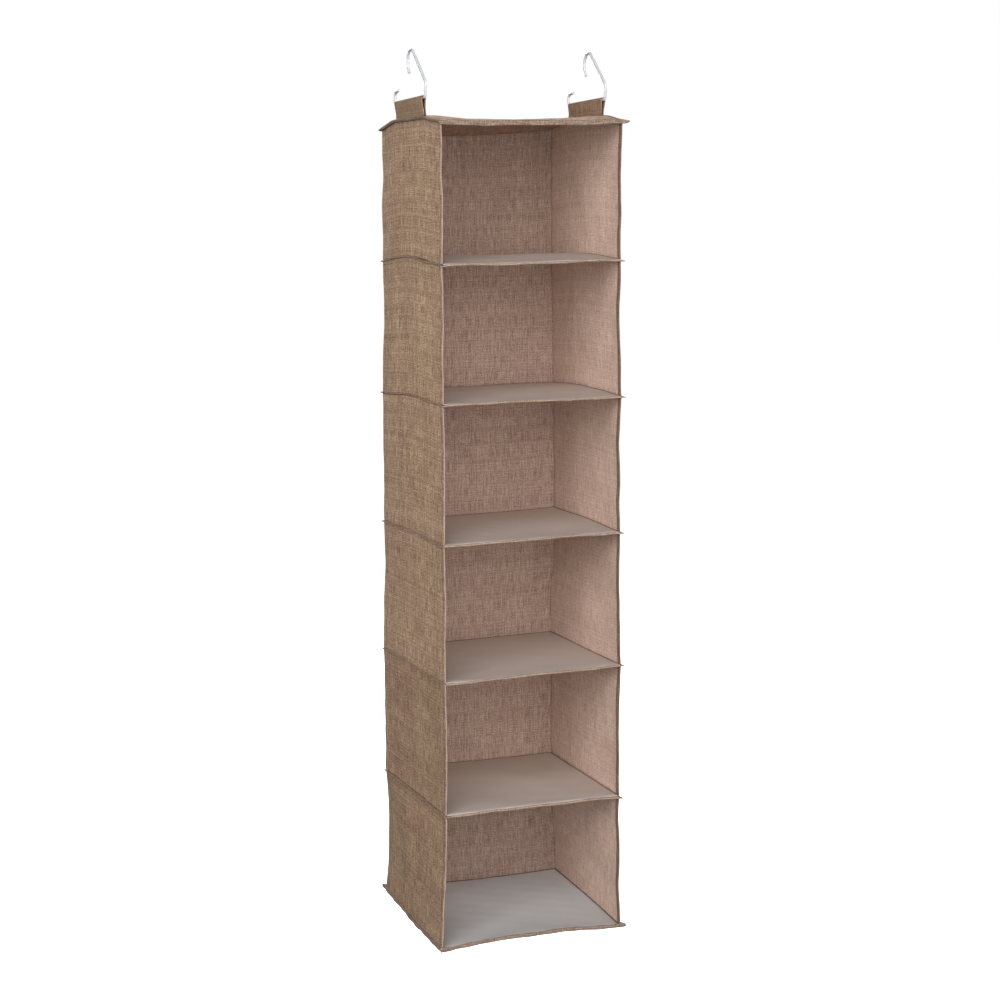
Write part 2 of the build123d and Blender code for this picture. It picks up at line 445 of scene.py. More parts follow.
# Painted light in the liners: their back colours are lighter to lift the shade at the back of the cells,
# and the shelves' is browner, a painted reflection of the brown walls.
LINER = smooth_liner("shelf_liner", (0.47, 0.405, 0.368), (0.62, 0.515, 0.438))
FLOOR_LINER = smooth_liner("floor_liner", (0.46, 0.45, 0.445), (0.77, 0.79, 0.80))
WIRE = coated_wire("coated_wire")
CARD = cardboard("cardboard")


def outside_of(cell):
    """The outer cloth of a cell: the two lowest cells' is a darker copy, painted shade for the light
    falling off towards the bottom.
    """
    return OUTER_PAINTED_SHADE if cell > CELLS[-3] else OUTER


# ---- mesh helpers


def ripple(seed, a, b, wavelength, count=5):
    """A smooth random ripple of about unit height over two distances, in metres."""
    draw = np.random.default_rng(seed)
    total = np.zeros(np.broadcast(a, b).shape)
    for _ in range(count):
        turn, phase = draw.uniform(0, TAU, 2)
        waves = draw.uniform(0.7, 1.5) / wavelength
        total = total + np.sin(TAU * waves * (a * math.cos(turn) + b * math.sin(turn)) + phase)
    return total / math.sqrt(count)


def smooth(value):
    """A smooth step from 0 to 1."""
    t = np.clip(value, 0, 1)
    return t * t * (3 - 2 * t)


def stack(*parts):
    """Coordinates, spread to one shape, as points."""
    return np.stack(np.broadcast_arrays(*parts), -1).astype(float)


def unit(vectors):
    """Vectors of length 1 the same way."""
    return vectors / np.linalg.norm(vectors, axis=1, keepdims=True)


def at_levels(z, numbers):
    """A length given for each level in millimetres, eased from level to level, in metres."""
    place = np.interp(-z, [-base for base in BASE_Z], np.arange(len(BASE_Z)))
    whole = np.minimum(place.astype(int), len(numbers) - 2)
    part = smooth(place - whole)
    numbers = np.array(numbers) * MM
    return numbers[whole] * (1 - part) + numbers[whole + 1] * part


def lean(points):
    """Moves points in plan: the walls' outer edges wander, and the last cell is pinched."""
    x, y, z = points.T
    left = np.clip(0.5 - x / (2 * HALF_W), 0, 1)
    back = np.clip((y - FRONT_Y) / (2 * HALF_D), 0, 1)
    under_hooks = 1 - smooth((z - BASE_Z[TOP] - LEAN_TOP) / LEAN_FADE)
    down = np.clip((BASE_Z[FLOOR - 1] - z) / (BASE_Z[FLOOR - 1] - BASE_Z[FLOOR]), 0, 1)
    pull = at_levels(z, LEFT_REAR_IN) * left * back**3
    pull += at_levels(z, LEFT_FRONT_IN) * left * (1 - back) ** 2
    pull -= at_levels(z, RIGHT_FRONT_IN) * (1 - left) * (1 - back) ** 2
    pull += at_levels(z, RIGHT_REAR_OUT) * (1 - left) * (1 - (1 - back) ** 2)
    pull += PINCH_REAR * np.sin(np.pi * down) * left * back**3
    pull -= smooth(down) * left * (PINCH_FRONT * (1 - back) + PINCH_SIDE * back * (1 - back))
    return np.stack([x + pull * under_hooks, y, z], -1)


def make_object(name, points, faces, uvs, materials, slots=None):
    """A mesh piece from points, lists of corners, a cloth coordinate per corner, and materials."""
    points = lean(points)
    mesh = bpy.data.meshes.new(name)
    mesh.from_pydata(points.tolist(), [], faces)
    layer = mesh.uv_layers.new(name="cloth")
    layer.data.foreach_set("uv", uvs.reshape(-1).astype(np.float32))
    for material in materials:
        mesh.materials.append(material)
    if slots is not None:
        mesh.polygons.foreach_set("material_index", slots.astype(np.int32))
    edit = bmesh.new()
    edit.from_mesh(mesh)
    bmesh.ops.recalc_face_normals(edit, faces=edit.faces)
    edit.to_mesh(mesh)
    edit.free()
    mesh.shade_smooth()
    return add_object(name, mesh)


def grid_quads(rows, columns, wrap_rows=False, wrap_columns=False):
    """The quads of a grid as row and column pairs, which run past the end where it wraps."""
    r = np.arange(rows if wrap_rows else rows - 1)
    c = np.arange(columns if wrap_columns else columns - 1)
    r, c = (part.ravel() for part in np.meshgrid(r, c, indexing="ij"))
    corners = [(r, c), (r + 1, c), (r + 1, c + 1), (r, c + 1)]
    return np.stack([np.stack(corner, -1) for corner in corners], 1)


def path_lengths(points):
    """The distance along a line of points to each of them."""
    steps = np.linalg.norm(np.diff(points, axis=0), axis=1)
    return np.concatenate([[0], np.cumsum(steps)])


def along_path(where, lengths, points):
    """The points at some distances along a line of points."""
    return stack(*[np.interp(where, lengths, points[:, axis]) for axis in range(3)])


def tube(name, points, along, around, materials, wrap_rows=False, slots=None, shift=0.0):
    """A closed skin over rings of points; each row of points is one ring."""
    rows, columns = points.shape[:2]
    pairs = grid_quads(rows, columns, wrap_rows, True)
    faces = ((pairs[..., 0] % rows) * columns + pairs[..., 1] % columns).tolist()
    uvs = [np.stack([around[pairs[..., 1]], along[pairs[..., 0]] + shift], -1).reshape(-1, 2)]
    points = points.reshape(-1, 3)
    if not wrap_rows:
        for row in (0, rows - 1):
            ring = row * columns + np.arange(columns)
            points = np.vstack([points, points[ring].mean(0)])
            hubs = np.full(columns, len(points) - 1)
            faces.extend(np.stack([ring, np.roll(ring, -1), hubs], -1).tolist())
            cap_uv = np.stack([around[:columns], np.full(columns, along[row] + shift)], -1)
            uvs.append(np.stack([cap_uv, np.roll(cap_uv, -1, 0), cap_uv], 1).reshape(-1, 2))
    face_slots = None
    if slots is not None:
        face_slots = np.zeros(len(faces))
        face_slots[: len(pairs)] = slots[pairs[:, 0, 1]]
    return make_object(name, points, faces, np.concatenate(uvs), materials, face_slots)


def slab(name, outer, inner, uv, materials, shift=0.0):
    """A sheet of cloth from two matching grids of points: its faces and its cut edges."""
    rows, columns = outer.shape[:2]
    count = rows * columns
    index = np.arange(count).reshape(rows, columns)
    pairs = grid_quads(rows, columns)
    faces = index[pairs[..., 0], pairs[..., 1]]
    flat_uv = (uv + shift).reshape(-1, 2)
    rim = np.concatenate([index[0, :-1], index[:-1, -1], index[-1, :0:-1], index[:0:-1, 0]])
    following = np.roll(rim, -1)
    edges = np.stack([rim, rim + count, following + count, following], -1)
    all_faces = np.vstack([faces, faces[:, ::-1] + count, edges])
    points = np.vstack([outer.reshape(-1, 3), inner.reshape(-1, 3)])
    uvs = flat_uv[all_faces % count]
    slots = np.zeros(len(all_faces))
    slots[len(faces) : 2 * len(faces)] = 1
    return make_object(name, points, all_faces.tolist(), uvs, materials, slots)


def capsules(name, centres, ahead, upward, length, radius, materials, which=None):
    """Many short lengths of thread in one mesh, each with rounded ends and its own material."""
    stations = np.array([-1.0, -0.92, -0.7, 0.7, 0.92, 1.0])
    widths = np.array([0.12, 0.62, 1.0, 1.0, 0.62, 0.12])
    bow = np.array([-0.9, -0.45, 0.0, 0.0, -0.45, -0.9])
    sides = 6
    turn = np.arange(sides) * TAU / sides
    ahead = unit(ahead)
    sideways = unit(np.cross(ahead, upward))
    lift = np.cross(sideways, ahead)
    reach = (stations * length / 2)[None, :, None, None] * ahead[:, None, None, :]
    spread = np.cos(turn)[None, None, :, None] * sideways[:, None, None, :]
    tall = np.sin(turn)[None, None, :, None] * lift[:, None, None, :]
    thick = (widths * radius)[None, :, None, None]
    dip = (bow * radius)[None, :, None, None] * lift[:, None, None, :]
    points = centres[:, None, None, :] + reach + thick * (spread + tall) + dip
    many, rings = len(centres), len(stations)
    pairs = grid_quads(rings, sides, False, True)
    one = pairs[..., 0] * sides + pairs[..., 1] % sides
    size = rings * sides
    faces = (np.arange(many)[:, None, None] * size + one[None]).reshape(-1, 4).tolist()
    slots = np.zeros(many) if which is None else which
    slots = np.concatenate([np.repeat(slots, len(one)), np.repeat(slots, 2)])
    ends = [list(range(sides)), list(range(size - sides, size))]
    for item in range(many):
        faces.extend([[corner + item * size for corner in end] for end in ends])
    flat = np.concatenate([np.array(face) for face in faces])
    ring_of = (flat % size) // sides
    uvs = np.stack([(flat % sides) * radius, ring_of * length / rings + flat // size * 0.01], -1)
    return make_object(name, points.reshape(-1, 3), faces, uvs, materials, slots)


# ---- levels


def corner_lift(number, x, y):
    """How far a level hangs out of true over a point of its plan."""
    front_left, front_right, back_right, back_left = (lift * MM for lift in CORNER_LIFT[number])
    right = np.clip(x / HALF_W, -1, 1) / 2 + 0.5
    back = np.clip((y - MIDDLE_Y) / HALF_D, -1, 1) / 2 + 0.5
    front = front_left + (front_right - front_left) * right
    rear = back_left + (back_right - back_left) * right
    return front + (rear - front) * back


def middle_z(number, x, y):
    """Height of the middle of a level's panel over a point of its plan."""
    across = np.clip(np.abs(x) / HALF_W, 0, 1)
    deep = np.clip((y - MIDDLE_Y) / HALF_D, -1, 1)
    z = BASE_Z[number] + corner_lift(number, x, y) + LEVEL_WAVE * ripple(40 + number, x, y, 0.22)
    if number == TOP:
        slope = np.clip((np.abs(deep) - PLATEAU) / (1 - PLATEAU), 0, 1)
        rise = TOP_RISE * (1 + TOP_LEAN * np.clip(x / HALF_W, -1, 1)) * (1 - TOP_DIP * (1 - across**2))
        z += rise * (1 - 0.35 * slope - 0.65 * smooth(slope))
        from_loop = (x + HALF_W - LOOP_PULL_IN) / LOOP_PULL_WIDE
        z += LOOP_PULL * np.exp(-(from_loop**2)) * (1 - slope)
        z -= FRONT_SAG * (1 - across**2) * ((1 - deep) / 2) ** 3
    else:
        lean_over = 1 - SHELF_LEAN * np.clip(x / HALF_W, -1, 1)
        z += RISE[number] * SHELF_RISE * lean_over * (1 - deep**2) ** RISE_POWER
    z -= BACK_SAG[number] * MM * (1 - across**2) * ((1 + deep) / 2) ** 4
    if number == FLOOR:
        z += FLOOR_BOW * (1 - across**2) * ((1 - deep) / 2) ** 3
        z -= FLOOR_SAG * np.clip(-x / HALF_W, 0, 1) ** 2 * (1 - deep**2)
    return z


def from_edge(x, y):
    """How far a point of a level's plan lies inside its edge."""
    return np.minimum(HALF_W - np.abs(x), HALF_D - np.abs(y - MIDDLE_Y))


def sleeve_half(x, y):
    """Half the thickness of a level's sleeve, which thins to the seam all round."""
    inside = from_edge(x, y)
    return SEAM_HALF + (HALF_LEVEL - SEAM_HALF) * smooth(inside / EDGE_TAPER) ** 0.6


def edge_spaced(half, count, middle=0.0):
    """Positions across a panel, closer together near its edges."""
    turn = np.linspace(-1, 1, count)
    return middle + half * np.sin(turn * math.pi / 2) * 0.35 + 0.65 * half * turn


def panel_grid(half_x, half_y):
    x = edge_spaced(half_x, 65)
    y = edge_spaced(half_y, 65, MIDDLE_Y)
    return np.meshgrid(x, y, indexing="ij")


def sheet_of_level(number, name, side, materials, seed):
    """One cloth of a level's sleeve: the upper one where side is 1, the lower where it is -1."""
    x, y = panel_grid(HALF_W - PANEL_CLEAR_X, HALF_D - PANEL_CLEAR_Y)
    puff = 0.00022 * ripple(seed, x, y, 0.05) + 0.00035 * ripple(seed + 1, x, y, 0.12)
    reach = sleeve_half(x, y) + puff * smooth(from_edge(x, y) / 0.03)
    z = middle_z(number, x, y)
    thick = np.minimum(SLEEVE_CLOTH, reach - CLEAR)
    outer = stack(x, y, z + side * reach)
    inner = stack(x, y, z + side * (reach - thick))
    return slab(name, outer, inner, stack(x, y), materials, shift=0.37 * number + 0.11 * side)


def board_of_level(number, name):
    x, y = panel_grid(HALF_W - BOARD_INSET, HALF_D - BOARD_INSET)
    z = middle_z(number, x, y)
    half = BOARD / 2 - CLEAR
    return slab(name, stack(x, y, z + half), stack(x, y, z - half), stack(x, y), [CARD, CARD])


def rim_route():
    """Points round the plan: place, way out, distances to the two corners, number of the side."""
    sides = [
        ((-HALF_W, FRONT_Y), (HALF_W, FRONT_Y), (0, -1)),
        ((HALF_W, FRONT_Y), (HALF_W, BACK_Y), (1, 0)),
        ((HALF_W, BACK_Y), (-HALF_W, BACK_Y), (0, 1)),
        ((-HALF_W, BACK_Y), (-HALF_W, FRONT_Y), (-1, 0)),
    ]
    rows = []
    for number, (start, end, away) in enumerate(sides):
        length = math.dist(start, end)
        count = round(length / RING_STEP)
        even = np.arange(count) / count
        crowded = np.sin((even - 0.5) * math.pi) / 2 + 0.5
        share = 0.55 * crowded + 0.45 * even
        for s in share:
            x = start[0] + (end[0] - start[0]) * s
            y = start[1] + (end[1] - start[1]) * s
            rows.append((x, y, *away, s * length, (1 - s) * length, number))
    return np.array(rows)


# The rims: how far each corner stands out (front left, front right, back right, back left),
# half of the height at the front and elsewhere, how uneven that is, how far the rim waves up
# and down, and how far each corner lifts and by what share it is thicker
TOP_RIM = ((0.004, 0.0086, 0.0045, 0.0042), 0.0042, 0.0025, 0.05, 0.0003, -0.0012, -0.4)
SHELF_RIM = ((0.0030, 0.0052, 0.0030, 0.0028), 0.0017, 0.0013, 0.10, 0.0006, -0.0012, -0.4)
FLOOR_RIM = ((0.0046, 0.0070, 0.0050, 0.0056), 0.0030, 0.0025, 0.10, 0.0006, 0.0022, 0.3)
RIM_DROP = 0.0006  # each rim sits up to this far above or below its level's middle
TOP_FRONT_DROP = 0.0008  # and the top's front edge this much lower
EAR_LENGTH = 0.011
EAR_POWER = 1.6
RIM_REACH, RIM_REACH_WAVE = 0.82, 0.10  # shares of the CAD rim's width
RIM_INSET = 0.0011  # how far the rim reaches in over the walls
RIM_FLAT = 0.62  # a power under 1 squares the rim's round section
RIM_SIDES = 14
RIM_ROUND = 0.016  # the way round the section, for the weave
CORD_INSET = 0.0026
CORD_RADIUS = 0.0007
CORD_FRONT = 0.012  # it stops this far behind the front
CORD_SIDES = 8


def rim_of_level(number, name):
    """The bound edge of a level, and its points: a flat rim with a small ear at each corner."""
    rim = TOP_RIM if number == TOP else FLOOR_RIM if number == FLOOR else SHELF_RIM
    ears, front_half, side_half, uneven, wave, ear_lift, ear_growth = rim
    draw = np.random.default_rng(70 + number)
    out = RIM_OUT[number]
    x, y, away_x, away_y, from_start, to_end, side = rim_route().T
    perimeter = 2 * HALF_W * side + from_start
    front = (side == 0).astype(float)
    half_tall = np.where(front > 0, front_half, side_half)
    half_tall *= 1 + uneven * ripple(80 + number, perimeter, 0, 0.035)
    reach = out * (RIM_REACH + RIM_REACH_WAVE * ripple(90 + number, perimeter, 0, 0.05))
    slide = np.zeros_like(x)
    corner_start = np.array(ears)[side.astype(int)]
    corner_end = np.array(ears)[(side.astype(int) + 1) % 4]
    for distance, ear, way in ((from_start, corner_start, -1), (to_end, corner_end, 1)):
        near = np.clip(1 - distance / EAR_LENGTH, 0, 1)
        reach += (ear - reach) * near**EAR_POWER
        slide += way * ear * near**EAR_POWER
        half_tall *= 1 + ear_growth * near
    section = np.arange(RIM_SIDES) * TAU / RIM_SIDES
    cos = np.sign(np.cos(section)) * np.abs(np.cos(section)) ** RIM_FLAT
    sin = np.sign(np.sin(section)) * np.abs(np.sin(section)) ** RIM_FLAT
    centre = (reach - RIM_INSET) / 2
    half_wide = (reach + RIM_INSET) / 2
    offset = centre[:, None] + half_wide[:, None] * cos[None]
    slid = slide[:, None] * (offset + RIM_INSET) / (2 * half_wide[:, None])
    drop = RIM_DROP * draw.uniform(-1, 1) + wave * ripple(60 + number, perimeter, 0, 0.09)
    z = middle_z(number, x, y) + drop
    at_ear = np.clip(1 - np.minimum(from_start, to_end) / EAR_LENGTH, 0, 1)
    z = z + ear_lift * at_ear - (TOP_FRONT_DROP * front if number == TOP else 0)
    points = stack(
        x[:, None] + away_x[:, None] * offset - away_y[:, None] * slid,
        y[:, None] + away_y[:, None] * offset + away_x[:, None] * slid,
        z[:, None] + half_tall[:, None] * sin[None],
    )
    along = np.append(perimeter, 8 * HALF_W)
    around = np.linspace(0, RIM_ROUND, RIM_SIDES + 1)
    if number in (TOP, FLOOR):
        colours, slots = [RIM], None
    else:
        # painted shade on the upper part of the rim's section, painted light on the rest
        colours, slots = [SEAM_SHADE, SEAM_PAINTED_LIGHT], (sin < 0.3).astype(int)
    return tube(name, points, along, around, colours, True, slots, 0.5 * number), points


def stitches_on_rim(number, name, points):
    """A row of slanted stitches along the outside of a rim."""
    face, core = points[:, :3].mean(1), points.mean(1)
    closed_face = np.vstack([face, face[:1]])
    closed_core = np.vstack([core, core[:1]])
    lengths = path_lengths(closed_face)
    count = int(lengths[-1] / STITCH_PITCH)
    draw = np.random.default_rng(120 + number)
    step = 0.001
    where = (np.arange(count) + draw.uniform(-0.12, 0.12, count)) * STITCH_PITCH + step
    centre = along_path(where, lengths, closed_face)
    ahead = along_path(where + step, lengths, closed_face) - centre
    upward = centre - along_path(where, lengths, closed_core)
    slant = np.array([0.0, 0.0, 0.7 * step])
    centre = centre + upward * 0.06
    colours = [SEAM_THREADS, THREADS]
    in_front = (centre[:, 1] < FRONT_Y).astype(int)
    return capsules(name, centre, ahead + slant, upward, RIM_STITCH, 1.4 * THREAD, colours, in_front)


def inner_cord(number, name):
    """The cord in the corner between a level's upper face and the three walls around it; its dark colour
    is painted shade of that corner.
    """
    x_end, y_end = HALF_W - CORD_INSET, BACK_Y - CORD_INSET
    front = FRONT_Y + CORD_FRONT
    side, back = np.linspace(0, 1, 60), np.linspace(-1, 1, 70)[1:-1]
    way_back = (y_end - front) * side
    x = np.concatenate([-x_end + 0 * side, x_end * back, x_end + 0 * side])
    y = np.concatenate([front + way_back, y_end + 0 * back, y_end - way_back])
    z = middle_z(number, x, y) + sleeve_half(x, y) + 0.3 * CORD_RADIUS
    route = stack(x, y, z)
    ahead = unit(np.gradient(route, axis=0))
    sideways = unit(np.cross(ahead, [0.0, 0.0, 1.0]))
    upward = np.cross(sideways, ahead)
    turn = np.arange(CORD_SIDES)[None, :, None] * TAU / CORD_SIDES
    spokes = np.cos(turn) * sideways[:, None] + np.sin(turn) * upward[:, None]
    points = route[:, None] + CORD_RADIUS * spokes
    colour = FLOOR_SHADE_CORD if number == FLOOR else SHELF_SHADE_CORD
    around = np.arange(CORD_SIDES + 1) * CORD_RADIUS
    return tube(name, points, path_lengths(route), around, [colour], shift=0.2 * number)


def build_level(number):
    """A level's two cloths, its board between them, and the edging round them."""
    level = LEVELS[number]
    upper_name = "cover" if number == TOP else "liner"
    lower_name = "lining" if number == TOP else "undercloth"
    facing = OUTER if number == TOP else FLOOR_LINER if number == FLOOR else LINER
    upper = sheet_of_level(number, f"{level}_{upper_name}_cloth", 1, [facing, INNER], 10 + number)
    below = LINING if number == TOP else INNER
    lower = sheet_of_level(number, f"{level}_{lower_name}_cloth", -1, [below, below], 20 + number)
    board = board_of_level(number, f"{level}_stiffener")
    rim, points = rim_of_level(number, f"{level}_rim")
    thread = stitches_on_rim(number, f"{level}_rim_stitches", points)
    edging = [rim, thread]
    if number != TOP:
        edging.append(inner_cord(number, f"{level}_inner_cord"))
    for piece in (upper, lower, board, *edging):
        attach(piece, level)
    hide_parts(f"{level}_{upper_name}")
    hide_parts(f"{level}_{lower_name}")
    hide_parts(f"{level}_board")
    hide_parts(f"{level}_binding")


# ---- walls and tapes

WALL_BOW = 0.0017  # a side wall hangs in by this much
WALL_WAVE = 0.0011  # its soft waves
WALL_CREASE = 0.0004
WALL_PUCKER = 0.00028  # gathers beside the seams
PUCKER_REACH = 0.010
EDGE_WANDER = 0.0011  # of a front edge, forward and back
REAR_PULL = 0.0016  # a rear edge pulls in between two levels
REAR_VARIES = 0.0006  # from cell to cell
BACK_BOW = 0.0016
BACK_WAVE = 0.0010


def hang(piece):
    """Cloth between two levels, built with its top on the one above and its bottom on the one below:
    bakes its placement into its points.
    """
    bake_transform(piece)


def wall_sway(cell, sign, deep, down):
    """How far a side wall's cloth stands out from its plane: bows, soft waves and puckers."""
    seed = 200 + 10 * cell + sign
    held = np.sin(np.pi * down)
    bow = -WALL_BOW * held * (0.6 + 0.4 * np.cos(np.pi * deep))
    soft = WALL_WAVE * ripple(seed, deep * WAVE_WIDE, down * WAVE_TALL, 0.16) * held
    creases = WALL_CREASE * ripple(seed + 1, deep * WAVE_WIDE, down * WAVE_TALL, 0.06) * held**0.5
    gathers = ripple(seed + 2, deep * WAVE_WIDE, 0.02 * down, 0.017, 3)
    near_seam = sum(np.exp(-share * WAVE_TALL / PUCKER_REACH) for share in (down, 1 - down))
    return bow + soft + creases + WALL_PUCKER * gathers * near_seam


def wall_front(cell, sign, down):
    """How far the front edge of a side wall wanders forward or back."""
    wander = ripple(300 + 10 * cell + sign, down * WAVE_TALL, 0, 0.15)
    return EDGE_WANDER * wander * np.sin(np.pi * down)


def wall_back(cell, sign, down):
    """How far the rear edge of the walls pulls in between two levels."""
    pull = REAR_PULL + REAR_VARIES * math.cos(3.1 * cell + sign)
    return -pull * np.sin(np.pi * down) ** 0.8


def seam_ends(cell, x, y):
    """Heights of the top and bottom of the cloth of a cell over a point of the plan."""
    return middle_z(cell - 1, x, y) - SEAM_HALF, middle_z(cell, x, y) + SEAM_HALF


def wall_grid():
    """Shares of a wall's width and height, closer together near its edges."""
    return np.meshgrid(edge_spaced(0.5, 111, 0.5), edge_spaced(0.5, 61, 0.5), indexing="ij")


def side_cloth(cell, side):
    """A side wall as one hung sheet, from the fold of its tape back to the rear seam."""
    sign = SIDES[side]
    deep, down = wall_grid()
    start = FRONT_Y + TAPE + wall_front(cell, sign, down)
    end = BACK_Y + wall_back(cell, sign, down)
    y = start + (end - start) * deep
    top, bottom = seam_ends(cell, sign * HALF_W, y)
    z = top + (bottom - top) * down
    sway = wall_sway(cell, sign, deep, down)
    outer = stack(sign * (HALF_W + sway), y, z)
    inner = stack(sign * (HALF_W + sway - CLOTH), y, z)
    uv = stack(deep * WALL_WIDE, down * WALL_TALL)
    name = f"cell_{cell}_{side}_cloth"
    # the side walls' inner faces get the painted light copy of the inner cloth
    colours = [outside_of(cell), INNER_SIDE_PAINTED_LIGHT]
    piece = slab(name, outer, inner, uv, colours, shift=0.41 * cell + 0.2 * sign)
    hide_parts(f"cell_{cell}_{side}_wall")
    return piece


def back_cloth(cell):
    """The back wall, set between the two side walls."""
    across, down = wall_grid()
    half = HALF_W - CLOTH
    seed = 400 + 10 * cell
    held = np.sin(np.pi * down)
    sides_in = np.stack([wall_sway(cell, sign, 1 + 0 * down, down) for sign in (-1, 1)])
    left = -(half + sides_in[0])
    right = half + sides_in[1]
    x = left + (right - left) * across
    free = held * np.sin(np.pi * across)
    y = BACK_Y + wall_back(cell, 0, down) - BACK_BOW * free
    y = y + BACK_WAVE * ripple(seed, across * WAVE_WIDE, down * WAVE_TALL, 0.17) * free
    y = y + WALL_CREASE * ripple(seed + 1, across * WAVE_WIDE, down * WAVE_TALL, 0.06) * held
    top, bottom = seam_ends(cell, x, BACK_Y)
    z = top + (bottom - top) * down
    outer = stack(x, y, z)
    inner = stack(x, y - CLOTH, z)
    uv = stack(across * WALL_WIDE, down * WALL_TALL)
    name = f"cell_{cell}_back_cloth"
    # the top and bottom cells' back walls get the painted shade copy of the inner cloth
    inside = INNER_PAINTED_SHADE if cell in (CELLS[0], CELLS[-1]) else INNER
    piece = slab(name, outer, inner, uv, [outside_of(cell), inside], shift=0.53 * cell + 0.07)
    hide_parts(f"cell_{cell}_back_wall")
    return piece


def tape_section():
    """The tape's section, folded round a wall's edge (sideways, backward), and its outer points."""
    half_in = CLOTH / 2 + TAPE_AIR
    half_out = half_in + TAPE
    bend = np.linspace(0, math.pi, 9)
    waist = TAPE_DEEP * 0.6
    outside = [(-half_out, TAPE_DEEP), (-half_out, waist), (-half_out, half_out)]
    outside += [(-half_out * math.cos(t), half_out * (1 - math.sin(t))) for t in bend[1:-1]]
    outside += [(half_out, half_out), (half_out, waist), (half_out, TAPE_DEEP)]
    inside = [(half_in, TAPE_DEEP), (half_in, waist), (half_in, half_out)]
    inside += [(half_in * math.cos(t), half_out - half_in * math.sin(t)) for t in bend[2:-2]]
    inside += [(-half_in, half_out), (-half_in, waist), (-half_in, TAPE_DEEP)]
    return np.array(outside + inside), len(outside)


def tape_place(cell, sign, down, back):
    """Where the middle of a wall's cloth lies at a height and a distance from its front edge."""
    deep = np.clip((back - TAPE) / (2 * HALF_D), 0, 1)
    y = FRONT_Y + back + wall_front(cell, sign, down)
    sway = wall_sway(cell, sign, deep, down)
    x = sign * (HALF_W + sway - CLOTH / 2)
    top, bottom = seam_ends(cell, sign * HALF_W, y)
    return x, y, top + (bottom - top) * down


def front_tape(cell, side):
    """The tape that binds the front edge of one side wall."""
    sign = SIDES[side]
    section, outside = tape_section()
    down = np.linspace(0, 1, 91)
    x, y, z = tape_place(cell, sign, down[:, None], section[None, :, 1])
    points = stack(x + sign * section[None, :, 0], y, z)
    around = np.append(path_lengths(section), TAPE_ROUND)
    slots = np.zeros(len(section))
    if side == "left":  # its fold gets the painted highlight, and its outer leg is like the wall
        outer_face = np.arange(len(section)) < outside
        slots[outer_face & (section[:, 1] < 0.0006)] = 1
        slots[outer_face & (section[:, 0] > 0) & (section[:, 1] > 0.0005)] = 2
    name = f"cell_{cell}_{side}_tape"
    colours = [EDGING, EDGING_PAINTED_HIGHLIGHT, outside_of(cell)]
    piece = tube(name, points, down * WALL_TALL, around, colours, slots=slots, shift=0.3 * cell)
    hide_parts(f"cell_{cell}_front_tapes")
    return piece


def tape_stitches(cell, side):
    """Running stitches down both legs of a tape."""
    sign = SIDES[side]
    count = TAPE_STITCHES
    down = (np.arange(count) + 0.5) / count
    x, y, z = tape_place(cell, sign, down, np.full(count, TAPE_STITCH_BACK))
    proud = CLOTH / 2 + TAPE + TAPE_AIR
    centres = np.concatenate([stack(x + face * proud, y, z) for face in (-1, 1)])
    outward = np.repeat([[-1.0, 0, 0], [1.0, 0, 0]], count, 0)
    ahead = np.repeat([[0.0, 0.12, -1.0]], 2 * count, 0)
    name = f"cell_{cell}_{side}_tape_stitches"
    piece = capsules(name, centres, ahead, outward, TAPE_STITCH, THREAD, [SEAM_THREADS])
    return piece


def build_cell(cell):
    """The three walls of a cell, and the tapes and stitches on the front edges."""
    for side in SIDES:
        cloth = side_cloth(cell, side)
        tape = front_tape(cell, side)
        thread = tape_stitches(cell, side)
        for piece in (cloth, tape, thread):
            hang(piece)
    back = back_cloth(cell)
    hang(back)


# ---- loops and hooks

TUNNEL_RADIUS = 0.0026
LOOP_CLOTH = 0.0011
LOOP_SWAY = 0.0007
HEM_GROWTH = 0.22  # how much thicker the loop is at its hems
HEM_IN, HEM_WIDE = 0.004, 0.003
FOOT_HALF, FOOT_GAP = 0.0021, 0.0009  # half of the foot's width, and of the gap inside it
FOOT_SKIRT = 0.2  # the share of the height over which the foot's two legs stay together
FOOT_LONGER = 0.025  # the foot is longer than the loop's top by this share
WRAP = 20  # degrees below the bar's middle where the cloth leaves it
KNEE_DROP, KNEE_HALF = 0.35, 0.94  # in radii, how far below and beside the middle that is
BAR_TILT = 1.8  # degrees that the hooks' bars slope down towards the back
BAR_RISE = math.tan(math.radians(BAR_TILT)) * 0.07  # of the bar's front end over its middle


def loop_outline(radius_top, half_foot, bar_z, foot_z):
    """Half-widths and heights from a loop's foot up over the bar and down to the foot again."""
    rise = np.linspace(0, 1, 15)[:-1]
    knee_z = bar_z - radius_top * KNEE_DROP
    heights = foot_z + (knee_z - foot_z) * rise
    open_share = smooth((rise - FOOT_SKIRT) / (1.05 - FOOT_SKIRT)) ** 0.8
    widths = half_foot + (radius_top * KNEE_HALF - half_foot) * open_share
    turn = np.radians(np.linspace(-WRAP, 180 + WRAP, 17))
    round_x = -radius_top * np.cos(turn)
    round_z = bar_z + radius_top * np.sin(turn)
    x = np.concatenate([-widths, round_x, widths[::-1]])
    z = np.concatenate([heights, round_z, heights[::-1]])
    return x, z


